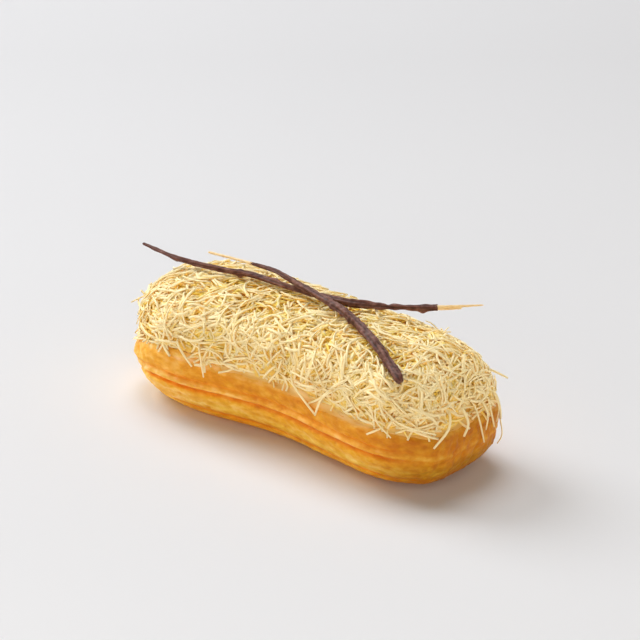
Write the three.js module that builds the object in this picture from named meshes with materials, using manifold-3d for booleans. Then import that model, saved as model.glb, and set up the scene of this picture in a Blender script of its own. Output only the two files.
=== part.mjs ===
// An eclair: a ribbed choux shell with a waist, a cream layer domed over it, a heap of fine pale
// shreds on the cream, and two chocolate twigs crossed on top, each with a bare strand at one end.
// Millimetres, +Z up. The long axis lies along X, and the origin is the middle of the flat underside.

import * as THREE from 'three';
import { mergeVertices } from 'three/addons/utils/BufferGeometryUtils.js';
import Module from 'manifold-3d';

const wasm = await Module();
wasm.setup();

// Plan of the shell
const LENGTH = 130;
const FULL_WIDTH = 56.9; // across the plan if it had no waist
const WAIST_DEPTH = 0.304; // share of the width that the waist takes away in the middle
const WAIST_REACH = 36.3;
const TAPER = -0.1; // the end at +X is a little narrower
const END_ROUNDNESS = { left: [2.99, 2.16], right: [4.15, 4.25] }; // powers along X and Y
const BOW = -1.19;
const SKEW = 1.05;

// Side of the shell
const SHELL_HEIGHT = 21;
const UNDERCUT = 9.6; // how far the flat underside lies inside the widest outline
const BELLY_HEIGHT = 17;
const UNDERCUT_POWER = 3.05;
const RIM_START = 18.8;
const RIM_CURVE = 0.3;
const PIPED_LINES = [
  { z: 4.9, depth: 0.75, width: 1.0 },
  { z: 8.9, depth: 0.22, width: 0.8 },
  { z: 12.3, depth: 0.85, width: 1.0 },
  { z: 14.0, depth: -0.35, width: 0.7 },
  { z: 15.4, depth: 0.4, width: 0.7 },
];
const LINE_WAVE = 0.35;
const LEFT_SAG = { depth: 4.7, from: -40, over: 23 }; // the lines and the rim dip at the left end

// Dome over the shell, measured to the tops of the shreds
const GAP = 0.3;
const DOME_BASE = SHELL_HEIGHT + GAP;
const DOME_HEIGHT = 20.2;
const DOME_POWER = 2.82;
const DOME_EDGE = 1.3; // inset of the dome's foot
const TOP_WAIST_SHARE = 0.03; // how much of the waist is left at the top of the dome

// Cream and shreds
const CREAM_OUT = -3.3; // from the tops of the shreds down to the cream
const CREAM_HOLLOW = 0.25; // its underside stands this much clear of the shell inside its foot
const CREAM_EDGE = 1.6; // the cream comes nearer to them at its foot
const MAT_OUT = -1.45; // and down to the matted shreds under the loose ones
const MAT_EDGE = 1.2; // height of the mat's edge above the shell
const MAT_EDGE_RISE = 2.2; // and how much more of the cream the middle of each side shows
const MAT_LUMP = 0.6; // height of its low swells, none where it folds shut
const MAT_EDGE_OUT = 0.8; // the mat thickens towards its edge
const SHRED_WIDTH = 0.95;
const SHRED_LENGTH = [8, 13];
const SHRED_COUNT = 112;
const SHRED_SPACING = 5;
const SIDE_CLEARANCE = 0.95; // from the widest outline to the middle of a shred that hangs beside it
const TWIG_CLEARANCE = 0.4;

// Shreds that hang over the edge: a point on the heap, one beside the rim and the lower end
const HANGING_SHREDS = [
  [[-25.5, -24, 29.5], [-24, -24, 24], [-23, -24, 17.6]],
  [[-35, -25, 28], [-30.5, -25, 24], [-27.2, -25, 20.3]],
  [[9, -20, 27], [15.5, -21, 22], [21.6, -22, 18.4]],
  [[28, -23, 29], [24.7, -23, 24.5], [21.8, -22, 18]],
  [[29, -23, 28.5], [25, -23, 25], [20.4, -22, 21.8]],
  [[46, -24, 29.5], [47.8, -24, 25], [52.8, -23, 20.6]],
  [[50, -23, 26.5], [57.7, -21, 25], [63.2, -15, 22.5]],
  [[63, -8, 28.5], [65, -11, 23.5], [63.6, -16, 18]],
  [[65, 2, 29], [66, 3, 21], [66, 5.5, 13]],
];

// Twigs
const LONG_TWIG_RADIUS = 0.88;
const ARCHED_TWIG_RADIUS = 1.25;
const STRAND_RADIUS = 0.42;
const STRAND_LIFT = 0.28; // of one of the two strands above the middle of the long twig
const TWIG_SIDES = 6;

// The long twig lies nearly straight over the heap, its thin tip at the left and its strands right
const LONG_TWIG = [
  [-66.6, -4.7, 45.2],
  [-50.7, -4.1, 43.9],
  [-38.1, -1.3, 43.4],
  [-25.6, 2.4, 43.3],
  [-11, 3, 43.3],
  [1.4, 3.9, 43.3],
  [12.6, 6.2, 43.4],
  [24.2, 10.6, 44],
  [38, 17.5, 45.4],
  [49.7, 24.8, 46.9],
];
const LONG_COAT_SHARE = 0.885; // share of its length that has the chocolate coat
const SHORT_STRAND_END = 0.945;

// The arched twig crosses over the long one and comes down at the right, its strand at the left
const ARCHED_TWIG = [
  [-44.1, 2, 46.2],
  [-28.5, 4.6, 45.9],
  [-18.6, 5.4, 45.7],
  [-5.5, 2.5, 45.4],
  [7.1, -0.2, 45.1],
  [18.4, -3, 44.3],
  [31.9, -8.1, 42.5],
  [41.6, -12.8, 40.7],
  [53, -18.8, 37.7],
];
const ARCHED_COAT_START = 0.155;

const SHELL_COLUMNS = 60;
const CREAM_COLUMNS = 40;
const MAT_COLUMNS = 36;

// Random draws that come out the same each time
function randomSource(seed) {
  let state = seed;
  return () => {
    state = (state * 1664525 + 1013904223) % 4294967296;
    return state / 4294967296;
  };
}

function clamp01(value) {
  return Math.min(1, Math.max(0, value));
}

// Plan directions evenly spaced along the outline, the far half mirroring the near half
function planDirections(columns) {
  const fine = 2000;
  const reach = [0];
  let last = planPoint({ c: 1, s: 0 }, 0, 1);
  for (let i = 1; i <= fine; i++) {
    const angle = (Math.PI * i) / fine;
    const next = planPoint({ c: Math.cos(angle), s: Math.sin(angle) }, 0, 1);
    reach.push(reach[i - 1] + next.distanceTo(last));
    last = next;
  }
  const half = columns / 2;
  const angles = [];
  let i = 0;
  for (let step = 0; step <= half; step++) {
    while (i < fine && reach[i] < (reach[fine] * step) / half) i++;
    angles.push((Math.PI * i) / fine);
  }
  const directions = angles.map((angle) => ({ c: Math.cos(angle), s: Math.sin(angle) }));
  directions[0] = { c: 1, s: 0 };
  directions[half] = { c: -1, s: 0 };
  for (let step = half - 1; step > 0; step--) {
    directions.push({ c: directions[step].c, s: -directions[step].s });
  }
  return directions;
}

// How the waist and the taper change the half width at x
function widthShare(x, waistShare) {
  const waist = 1 - waistShare * WAIST_DEPTH * Math.exp(-((x / WAIST_REACH) ** 2));
  return waist * (1 + (TAPER * x) / (LENGTH / 2));
}

// The slight curve of the long axis
function bow(x) {
  const u = x / (LENGTH / 2);
  return BOW * (u * u - 0.4) + SKEW * u ** 3;
}

// A point of the outline drawn in by an inset; an inset of half the width gives the spine
function planPoint({ c, s }, inset, waistShare) {
  const [px, py] = c < 0 ? END_ROUNDNESS.left : END_ROUNDNESS.right;
  const x = (LENGTH / 2 - inset) * Math.sign(c) * Math.abs(c) ** (2 / px);
  const y = (FULL_WIDTH / 2 - inset) * Math.sign(s) * Math.abs(s) ** (2 / py);
  return new THREE.Vector2(x, y * widthShare(x, waistShare) + bow(x));
}

// The inset on which a plan point lies
function insetAt(x, y, waistShare) {
  const [px, py] = x < 0 ? END_ROUNDNESS.left : END_ROUNDNESS.right;
  const across = Math.abs(y - bow(x)) / widthShare(x, waistShare);
  let low = -12;
  let high = FULL_WIDTH / 2;
  for (let i = 0; i < 30; i++) {
    const inset = (low + high) / 2;
    const along = Math.abs(x) / (LENGTH / 2 - inset);
    const inside = along ** px + (across / (FULL_WIDTH / 2 - inset)) ** py < 1;
    if (inside) low = inset;
    else high = inset;
  }
  return (low + high) / 2;
}

// How far the left end has sunk at x and a height, most at the rim and nothing at floor and top
function sag(x, z) {
  const left = THREE.MathUtils.smoothstep(LEFT_SAG.from - x, 0, LEFT_SAG.over);
  const share = z < SHELL_HEIGHT ? z / SHELL_HEIGHT : 1 - (z - SHELL_HEIGHT) / DOME_HEIGHT;
  return LEFT_SAG.depth * left * clamp01(share);
}

// A closed body from rows of rings: place gives the point for a row and a plan direction, and the
// first and last rows are folded shut along the spine
function moulded(rows, columns, place) {
  const profile = Array.from({ length: rows }, (_, row) => new THREE.Vector2(1, row));
  const geometry = new THREE.LatheGeometry(profile, columns);
  const directions = planDirections(columns);
  const position = geometry.attributes.position;
  for (let i = 0; i < position.count; i++) {
    const column = Math.floor(i / rows) % columns;
    const { x, y, z } = place(i % rows, directions[column]);
    position.setXYZ(i, x, y, z - sag(x, z));
  }
  return geometry;
}

// A rod bent along a curve, its radius set by the share of its length and the direction outward
function bentRod(curve, steps, sides, radiusAt) {
  const geometry = new THREE.CylinderGeometry(1, 1, 1, sides, steps);
  const frames = curve.computeFrenetFrames(steps);
  const position = geometry.attributes.position;
  for (let i = 0; i < position.count; i++) {
    const row = Math.round((0.5 - position.getY(i)) * steps);
    const outward = frames.normals[row].clone().multiplyScalar(position.getX(i));
    outward.addScaledVector(frames.binormals[row], position.getZ(i));
    const point = curve.getPointAt(row / steps);
    point.addScaledVector(outward, radiusAt(row / steps, outward));
    position.setXYZ(i, point.x, point.y, point.z);
  }
  return geometry;
}

// The closed solid of a geometry
function solid(geometry) {
  geometry.deleteAttribute('normal');
  geometry.deleteAttribute('uv');
  const merged = mergeVertices(geometry, 1e-4);
  const triangles = [];
  for (let i = 0; i < merged.index.count; i += 3) {
    const [a, b, c] = [0, 1, 2].map((corner) => merged.index.getX(i + corner));
    if (a !== b && b !== c && c !== a) triangles.push(a, b, c);
  }
  const mesh = new wasm.Mesh({
    numProp: 3,
    vertProperties: new Float32Array(merged.attributes.position.array),
    triVerts: new Uint32Array(triangles),
  });
  return new wasm.Manifold(mesh);
}

// A named mesh of a solid
function piece(name, body, material) {
  const { vertProperties, triVerts } = body.getMesh();
  const geometry = new THREE.BufferGeometry();
  geometry.setAttribute('position', new THREE.BufferAttribute(vertProperties, 3));
  geometry.setIndex(new THREE.BufferAttribute(triVerts, 1));
  geometry.computeVertexNormals();
  const mesh = new THREE.Mesh(geometry, material);
  mesh.name = name;
  return mesh;
}

function finish(color, roughness) {
  return new THREE.MeshStandardMaterial({ color, roughness, metalness: 0 });
}

// How far the side of the shell lies inside its outline at a height
function sideInset(z, { c, s }) {
  const angle = Math.atan2(s, c);
  const line = z + LINE_WAVE * (Math.sin(3 * angle + 0.6) + 0.6 * Math.sin(7 * angle + 2.1));
  let inset = UNDERCUT * clamp01(1 - z / BELLY_HEIGHT) ** UNDERCUT_POWER;
  for (const { z: middle, depth, width } of PIPED_LINES) {
    inset += depth * Math.exp(-(((line - middle) / width) ** 2));
  }
  return inset + RIM_CURVE * Math.max(0, z - RIM_START) ** 2;
}

function shell() {
  const levels = 19;
  const place = (row, direction) => {
    const z = SHELL_HEIGHT * clamp01((row - 1) / levels);
    const folded = row === 0 || row === levels + 2;
    const inset = folded ? FULL_WIDTH / 2 : sideInset(z, direction);
    const { x, y } = planPoint(direction, inset, 1);
    return { x, y, z };
  };
  return piece('choux_shell', solid(moulded(levels + 3, SHELL_COLUMNS, place)), finish(0xdf9a3c, 0.5));
}

// How much of the waist the dome has at a share of its height
function domeWaist(heightShare) {
  const rise = (Math.asin(clamp01(heightShare)) * 2) / Math.PI;
  return TOP_WAIST_SHARE + (1 - TOP_WAIST_SHARE) * (1 - rise);
}

// A point of the dome at a share of its height, moved out from the tops of the shreds
function domePoint(direction, heightShare, out) {
  const spread = (1 - heightShare ** DOME_POWER) ** (1 / DOME_POWER);
  const inset = FULL_WIDTH / 2 - (FULL_WIDTH / 2 - DOME_EDGE + out) * spread;
  const { x, y } = planPoint(direction, inset, domeWaist(heightShare));
  return { x, y, z: DOME_BASE + (DOME_HEIGHT + out) * heightShare };
}

// The share of the dome's height at a step of the way up, with even steps along the surface
function heightShareAt(step) {
  return Math.sin((step * Math.PI) / 2) ** (1.5 - 0.5 * step);
}

// Negative inside the dome, zero on its surface and positive outside it, in about millimetres
function domeField(point, out) {
  const level = point.z + sag(point.x, point.z + sag(point.x, point.z));
  const heightShare = Math.max(0, (level - DOME_BASE) / (DOME_HEIGHT + out));
  const inset = insetAt(point.x, point.y, domeWaist(heightShare));
  const spread = (FULL_WIDTH / 2 - inset) / (FULL_WIDTH / 2 - DOME_EDGE + out);
  return 20 * ((spread ** DOME_POWER + heightShare ** DOME_POWER) ** (1 / DOME_POWER) - 1);
}

function fieldNormal(point, out) {
  const step = 0.05;
  const here = domeField(point, out);
  const slope = new THREE.Vector3();
  for (const axis of ['x', 'y', 'z']) {
    const moved = point.clone();
    moved[axis] += step;
    slope[axis] = (domeField(moved, out) - here) / step;
  }
  return { here, slope };
}

// The nearest point of the dome's surface, and the direction out of it
function ontoDome(point, out) {
  const moved = point.clone();
  let normal = new THREE.Vector3(0, 0, 1);
  for (let i = 0; i < 4; i++) {
    const { here, slope } = fieldNormal(moved, out);
    const steepness = Math.max(slope.length(), 0.2);
    normal = slope.clone().normalize();
    moved.addScaledVector(normal, -here / steepness);
  }
  return { point: moved, normal };
}

// The cream, or with some growth the room that the mat leaves for it
function creamBody(growth) {
  const steps = 8;
  const place = (row, direction) => {
    if (row === 0) return { ...domePoint(direction, 1, CREAM_OUT), z: DOME_BASE + CREAM_HOLLOW };
    const step = (row - 1) / steps;
    return domePoint(direction, heightShareAt(step), CREAM_OUT + CREAM_EDGE * (1 - step) + growth);
  };
  return solid(moulded(steps + 2, CREAM_COLUMNS, place));
}

function cream() {
  return piece('cream_layer', creamBody(0), finish(0xf0dca6, 0.45));
}

// Height of the mat's ragged edge above the shell
function matEdge({ c, s }) {
  const angle = Math.atan2(s, c);
  const middle = Math.exp(-(((c - 0.15) / 0.6) ** 2));
  return MAT_EDGE + MAT_EDGE_RISE * middle + 0.7 * Math.sin(9 * angle + 1) + 0.4 * Math.sin(15 * angle);
}

// Low swells over the mat, between about -1 and 1
function unevenness({ c, s }, step) {
  const across = Math.sin(9 * c + 4 * step) * Math.cos(5 * s - 3 * step);
  return 0.7 * across + 0.3 * Math.sin(17 * c * step + 2) * Math.cos(11 * s);
}

// The outer form of the matted shreds over the cream
function mat() {
  const steps = 7;
  const place = (row, direction) => {
    if (row === 0) return { ...domePoint(direction, 1, 0), z: DOME_BASE + MAT_EDGE + 1 };
    const step = (row - 1) / steps;
    const edge = matEdge(direction) / DOME_HEIGHT;
    const swell = 4 * MAT_LUMP * step * (1 - step) * unevenness(direction, step);
    const out = MAT_OUT + MAT_EDGE_OUT * (1 - step) ** 2 + swell;
    return domePoint(direction, edge + (1 - edge) * heightShareAt(step), out);
  };
  return solid(moulded(steps + 2, MAT_COLUMNS, place));
}

// The points along a shred that lies on the dome, turning a little as it goes
function walk(start, heading, length, turn, points, outAt) {
  const path = [];
  let { point, normal } = ontoDome(start, 0);
  const ahead = heading.clone();
  for (let i = 0; i < points; i++) {
    ahead.addScaledVector(normal, -ahead.dot(normal)).normalize();
    path.push(point.clone().addScaledVector(normal, outAt(i / (points - 1))));
    ahead.applyAxisAngle(normal, turn / points);
    point.addScaledVector(ahead, length / (points - 1));
    ({ point, normal } = ontoDome(point, 0));
  }
  return path;
}

function clearOf(path, keepOuts) {
  return keepOuts.every(({ points, radius }) => {
    const reach = radius + SHRED_WIDTH / 2 + TWIG_CLEARANCE;
    return points.every((centre) => path.every((point) => point.distanceTo(centre) > reach));
  });
}

function shredSolid(path, sides) {
  const curve = new THREE.CatmullRomCurve3(path);
  return solid(bentRod(curve, path.length - 1, sides, () => SHRED_WIDTH * 0.62));
}

// A start for a loose shred, spread evenly over the top and the sides of the dome
function shredStart(random) {
  const directions = planDirections(240);
  const direction = directions[Math.floor(random() * 240)];
  const spread = 0.98 * Math.sqrt(random());
  const onTop = (1 - spread ** DOME_POWER) ** (1 / DOME_POWER);
  const heightShare = random() < 0.62 ? onTop : 0.3 + 0.5 * random();
  const { x, y, z } = domePoint(direction, heightShare, 0);
  return new THREE.Vector3(x, y, z - sag(x, z));
}

// Loose shreds on the mat: one end or both dip into the mat and the rest stands clear of it
function looseShreds(keepOuts) {
  const random = randomSource(20);
  const shreds = [];
  const starts = [];
  while (shreds.length < SHRED_COUNT) {
    const start = shredStart(random);
    if (starts.some((other) => other.distanceTo(start) < SHRED_SPACING)) continue;
    const heading = new THREE.Vector3(random() - 0.5, random() - 0.5, 0.6 * (random() - 0.5));
    const length = THREE.MathUtils.lerp(...SHRED_LENGTH, random());
    const turn = 1.8 * (random() - 0.5);
    const stand = 0.9 + 0.9 * random();
    const span = random() < 0.6 ? 0.62 : 1; // a free end stays up
    const outAt = (share) => MAT_OUT - 0.4 + stand * Math.sin(Math.PI * span * share) ** 0.6;
    const path = walk(start.clone(), heading.normalize(), length, turn, length > 11 ? 4 : 3, outAt);
    const onMat = path.every(({ x, z }) => z > DOME_BASE - sag(x, DOME_BASE) + MAT_EDGE + 2);
    if (!onMat || !clearOf(path, keepOuts)) continue;
    starts.push(start);
    shreds.push(shredSolid(path, 3));
  }
  return shreds;
}

// The plan point beside the shell nearest to x and y
function besideShell([x, y, z]) {
  const spine = new THREE.Vector2(THREE.MathUtils.clamp(x, -36, 36), 0);
  const point = new THREE.Vector2(x, y);
  const outward = point.clone().sub(spine).normalize();
  for (let i = 0; i < 8; i++) {
    point.addScaledVector(outward, insetAt(point.x, point.y, 1) + SIDE_CLEARANCE);
  }
  return new THREE.Vector3(point.x, point.y, z);
}

// Shreds that hang over the edge of the mat, clear of the shell, on the near and the far side
function hangingShreds() {
  const farSide = HANGING_SHREDS.slice(0, 7).map((points) => points.map(([x, y, z]) => [-x, -y, z]));
  return [...HANGING_SHREDS, ...farSide].map(([held, beside, end]) => {
    const { point, normal } = ontoDome(new THREE.Vector3(...held), 0);
    const root = point.clone().addScaledVector(normal, MAT_OUT - 0.5);
    const top = point.clone().addScaledVector(normal, 0.3);
    const path = [root, top.lerp(besideShell(beside), 0.35), besideShell(beside), besideShell(end)];
    return shredSolid(path, 4);
  });
}

function shredHeap(keepOuts) {
  const heap = [...looseShreds(keepOuts), ...hangingShreds()].reduce(
    (body, shred) => body.add(shred),
    mat(),
  );
  const parts = heap.subtract(creamBody(GAP)).decompose();
  const [body] = parts.sort((a, b) => b.volume() - a.volume());
  return piece('shred_heap', body, finish(0xf3e1a8, 0.6));
}

// A twig's radius: tapered at its thin end, with lumps that stand out on one side of it
function twigRadius(radius, tipRadius, taper, lumps) {
  return (share, outward) => {
    let size = THREE.MathUtils.lerp(tipRadius, radius, clamp01(share / taper));
    for (const { at, width, height, side } of lumps) {
      const facing = 0.35 + 0.65 * Math.max(0, outward.dot(side));
      size += height * facing * Math.exp(-(((share - at) / width) ** 2));
    }
    return size;
  };
}

function curveThrough(points) {
  return new THREE.CatmullRomCurve3(points.map((point) => new THREE.Vector3(...point)));
}

// The part of a curve between two shares of its length
function stretch(curve, from, to) {
  const steps = 24;
  const points = Array.from({ length: steps + 1 }, (_, i) =>
    curve.getPointAt(THREE.MathUtils.lerp(from, to, i / steps)),
  );
  return new THREE.CatmullRomCurve3(points);
}

const BELOW = new THREE.Vector3(0, -0.5, -0.87);
const ABOVE = new THREE.Vector3(0, 0, 1);

function longTwig(curve) {
  const lumps = [
    { at: 0.05, width: 0.012, height: 0.2, side: BELOW },
    { at: 0.135, width: 0.014, height: 0.3, side: BELOW },
    { at: 0.35, width: 0.008, height: 0.75, side: BELOW },
    { at: 0.47, width: 0.015, height: 0.25, side: ABOVE },
    { at: 0.72, width: 0.03, height: 0.2, side: ABOVE },
    { at: 0.85, width: 0.01, height: -0.3, side: ABOVE },
    { at: 0.955, width: 0.013, height: 0.6, side: BELOW },
  ];
  const coat = stretch(curve, 0, LONG_COAT_SHARE);
  const radiusAt = twigRadius(LONG_TWIG_RADIUS, 0.4, 0.2, lumps);
  return piece('long_twig', solid(bentRod(coat, 44, TWIG_SIDES, radiusAt)), chocolate());
}

function archedTwig(curve) {
  const lumps = [
    { at: 0.5, width: 0.02, height: 0.2, side: ABOVE },
    { at: 0.565, width: 0.012, height: 0.45, side: BELOW },
    { at: 0.7, width: 0.02, height: 0.25, side: ABOVE },
    { at: 1, width: 0.012, height: -0.45, side: ABOVE },
  ];
  const coat = stretch(curve, ARCHED_COAT_START, 1);
  const radiusAt = twigRadius(ARCHED_TWIG_RADIUS, 0.36, 0.8, lumps);
  return piece('arched_twig', solid(bentRod(coat, 40, TWIG_SIDES, radiusAt)), chocolate());
}

// The bare end of the long twig is two strands side by side, the upper one longer and tapered
function longStrands(curve) {
  const start = LONG_COAT_SHARE + GAP / curve.getLength();
  const rod = (end, lift, tipRadius) => {
    const path = stretch(curve, start, end);
    for (const point of path.points) point.z += lift;
    const radiusAt = (share) => THREE.MathUtils.lerp(STRAND_RADIUS, tipRadius, share ** 2);
    return solid(bentRod(path, 5, TWIG_SIDES, radiusAt));
  };
  const body = rod(1, STRAND_LIFT, 0.2).add(rod(SHORT_STRAND_END, -STRAND_LIFT, 0.34));
  return piece('long_twig_strands', body, straw());
}

function archedStrand(curve) {
  const path = stretch(curve, 0, ARCHED_COAT_START - GAP / curve.getLength());
  const radiusAt = (share) => THREE.MathUtils.lerp(0.24, 0.36, share);
  return piece('arched_twig_strand', solid(bentRod(path, 6, TWIG_SIDES, radiusAt)), straw());
}

function chocolate() {
  return finish(0x4f3a3d, 0.45);
}

function straw() {
  return finish(0xe6bf78, 0.6);
}

const longCurve = curveThrough(LONG_TWIG);
const archedCurve = curveThrough(ARCHED_TWIG);
const keepOuts = [
  { points: longCurve.getSpacedPoints(160), radius: LONG_TWIG_RADIUS },
  { points: archedCurve.getSpacedPoints(140), radius: ARCHED_TWIG_RADIUS },
];

const group = new THREE.Group();
group.add(shell());
group.add(cream());
group.add(shredHeap(keepOuts));
group.add(longTwig(longCurve));
group.add(archedTwig(archedCurve));
group.add(longStrands(longCurve));
group.add(archedStrand(archedCurve));

export default group;
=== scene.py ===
# The eclair as the photograph shows it: browned choux shell, cream, a heap of fine shreds, two
# chocolate twigs with bare strand ends. Sizes in millimetres until a mesh is made.
import math
import bpy
import numpy as np
from mathutils import Matrix, Vector


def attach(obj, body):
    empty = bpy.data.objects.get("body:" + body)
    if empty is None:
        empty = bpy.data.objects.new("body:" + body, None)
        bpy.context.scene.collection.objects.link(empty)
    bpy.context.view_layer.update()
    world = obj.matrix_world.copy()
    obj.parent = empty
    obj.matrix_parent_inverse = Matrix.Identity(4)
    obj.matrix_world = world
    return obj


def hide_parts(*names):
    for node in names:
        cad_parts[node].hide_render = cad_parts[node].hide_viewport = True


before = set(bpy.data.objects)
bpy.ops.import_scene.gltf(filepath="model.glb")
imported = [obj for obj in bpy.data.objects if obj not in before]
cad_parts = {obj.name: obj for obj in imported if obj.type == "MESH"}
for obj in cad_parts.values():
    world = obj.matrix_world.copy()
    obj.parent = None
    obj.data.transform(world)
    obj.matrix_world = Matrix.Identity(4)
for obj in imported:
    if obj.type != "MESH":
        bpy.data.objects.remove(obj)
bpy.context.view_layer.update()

scene = bpy.context.scene
MM = 0.001

# Plan of the eclair, as in its solids
LENGTH, FULL_WIDTH = 130.0, 56.9
WAIST_DEPTH, WAIST_REACH, TAPER = 0.304, 36.3, -0.1
LEFT_ROUND, RIGHT_ROUND = (2.99, 2.16), (4.15, 4.25)
BOW, SKEW, BOW_LEVEL = -1.19, 1.05, 0.4
SPINE_HALF, RIM_SPINE_HALF = 36, 40  # things beside the shell and over its rim face away from this part
PLAN_STEPS = 4001
OUTERMOST, INNERMOST, HALVINGS = -12.0, 1e-6, 26  # search for the inset of a point

# Side of the shell, as in its solid
SHELL_HEIGHT, UNDERCUT, BELLY_HEIGHT, UNDERCUT_POWER = 21.0, 9.6, 17.0, 3.05
RIM_START, RIM_CURVE = 18.8, 0.3
LIP_HEIGHT, LIP_RANGE, LIP_START, LIP_THICK = 2.4, (12.0, 36.0), 15.5, 1.2
FOOT_DEPTH, FOOT_HEIGHT, FOOT_RANGE = 5.2, 2.4, (-35.0, 5.0)
RIGHT_FOOT_DEPTH, RIGHT_FOOT_HEIGHT, RIGHT_FOOT_RANGE = 5.0, 1.2, (45.0, 62.0)
SAG_DEPTH, SAG_RANGE = 4.7, (40.0, 63.0)

# Relief of the crust. A piped line has a height above the foot, a depth and a width.
SHELL_COLUMNS, SIDE_ROWS, ROW_POWER = 720, 120, 1.15
PIPED_LINES = [(4.9, 0.8, 0.8), (8.9, 0.22, 0.8), (12.3, 1.1, 0.68), (13.7, -0.6, 0.55), (15.3, 0.55, 0.6)]
LINE_WAVE, RIGHT_FLATTENED, LEFT_FLATTENED = 0.35, 0.9, 0.55  # less deep at both ends
KNOB_RANGE, KNOB_ABOVE, KNOB_UNDER = (44.0, 62.0), 1.1, 1.6
KNOB_TOP, KNOB_WIDEST, KNOB_FADE, KNOB_FOOT = (17.5, 21.0), 17.2, 4.5, (1.0, 5.0)
LUMPY_RANGE, LUMP_HEIGHT, LUMP_SIZE = (48.0, 61.0), 0.2, 9.0
FINE_HEIGHT, FINE_SIZE, FINEST_HEIGHT, FINEST_SIZE, RELIEF_FADE = 0.16, 5.0, 0.12, 2.2, 2.0
PIT_COUNT, PIT_DEPTH, PIT_REACH, PIT_STRENGTH = 130, 0.35, (0.4, 0.9), (0.4, 1)
WIDE_PITS = [(64.6, -7.3, 13.8), (64.9, -0.6, 13.5), (64.6, 9.7, 13.6)]
WIDE_PIT_REACH, WIDE_PIT_STRENGTH = 1.0, 1.6

# Colours of the crust at heights above the foot, linear light. The row at 13.7 is paler, a painted highlight
# along the piped ridge, and the row at 12.8 below it is darker, painted shade in the groove.
CRUST_COLOURS = [
    (0, (0.88, 0.43, 0.018)), (5, (0.89, 0.45, 0.02)), (8, (0.89, 0.56, 0.075)), (11, (0.88, 0.42, 0.018)),
    (12.8, (0.90, 0.37, 0.02)), (13.7, (1.0, 0.53, 0.08)), (15, (0.92, 0.39, 0.022)),
    (17, (0.81, 0.335, 0.013)), (19.5, (0.82, 0.335, 0.014)), (20.6, (0.94, 0.50, 0.09)),
]
# the first colour is painted shade, put on the crust where the piped grooves are cut deep
GROOVE_SHADE_COLOUR, PATCH_SHADE, PATCH_SIZE = (0.80, 0.25, 0.009), (0.0, 0.06, 0.3), 9.0
# The right end is painted darker, most in its lower band: painted shade for the end turned away from the key
# light.
RIGHT_SHADE_RANGE, RIGHT_SHADE_COLOUR, RIGHT_LOW_SHADE = (38.0, 62.0), (0.76, 0.69, 0.33), (0.8, 0.67, 0.42)
LOW_BAND_TOP, LOW_BAND_FADE = 12, 3
STREAK_SHADE, STREAK_SIZE, PIT_SHADE = (0.05, 0.12, 0.25), 4.0, (0.12, 0.3, 0.45)
# The left end is painted paler, painted light for the end that faces the key light; the last value caps the
# crust's colour.
LEFT_LIGHT_RANGE, LEFT_LIGHT_GAIN, PALEST = (20.0, 52.0), (1.25, 1.63, 4.7), (1.0, 0.6, 0.12)

# Dome over the shell, to which the tops of the shreds reach
DOME_BASE, DOME_HEIGHT, DOME_POWER, DOME_EDGE = 21.3, 20.2, 2.82, 1.3
TOP_WAIST_SHARE = 0.03
FIELD_SCALE, NUDGE, LEAST_SLOPE = 20, 0.05, 0.2

# Cream and the matted shreds over it, measured out from the dome
CAP_COLUMNS, CAP_STEPS = 480, 70
CREAM_OUT, CREAM_EDGE, CREAM_FILLET, CREAM_LAP, CREAM_PROUD = -3.3, 1.6, 1.5, 20.25, 0.12
LAP_RISE, LAP_WAVE, LEAST_LAP = 0.45, 0.35, 0.15
CREAM_WAVES = [(0.22, 7.0, 21), (0.1, 2.5, 22)]  # height, size and seed
CREAM_LOW, CREAM_HIGH, CREAM_BLEND = (0.90, 0.44, 0.06), (0.97, 0.67, 0.25), 1.3
MAT_OUT, MAT_EDGE, MAT_EDGE_RISE, MAT_EDGE_OUT = -1.2, 0.1, 0.6, 0.6
MAT_LUMP, MAT_LUMP_SIZE, MAT_FADE_STEPS = 0.3, 2.4, 6
EDGE_WAVES = [(0.5, 9, 1), (0.35, 15, 0), (0.45, 37, 2), (0.35, 61, 0)]  # height, how many round, phase
EDGE_LIP_SHARE = 0.8
BARE_START, BARE_END = (-12, 8), (28, 46)

# Twigs and their bare straws. A lump has a place along the twig, a width, a height and a side.
LONG_TWIG_RADIUS, ARCHED_TWIG_RADIUS, STRAND_RADIUS, STRAND_LIFT = 0.88, 1.42, 0.48, 0.33
LONG_TIP, LONG_TAPER, ARCHED_TIP, ARCHED_TAPER, ARCHED_SWELL = 0.4, 0.2, 0.36, 0.8, 0.55
UPPER_STRAND_TIP, LOWER_STRAND_TIP, ARCHED_STRAND, ARCHED_STRAND_TIP = 0.2, 0.34, 0.42, 0.38
LONG_COAT_SHARE, SHORT_STRAND_END, ARCHED_COAT_START, STRAND_INSERT = 0.885, 0.945, 0.155, 0.01
TWIG_SIDES, STRAND_SIDES = 28, 12
LONG_COAT_POINTS, ARCHED_COAT_POINTS, STRAW_POINTS, SHORT_STRAW_POINTS = 420, 400, 60, 40
# Ripples of a twig: height as a share of its radius, how many along it (in radians) and how many round it
TWIG_RIPPLES = [(0.12, 20, 4), (0.08, -10, 7), (0.06, 23, 0), (0.05, 61, 1), (0.04, 140, 2), (0.03, 233, -3)]
LUMP_ROUND = 0.35  # share of a lump's height on its far side
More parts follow.
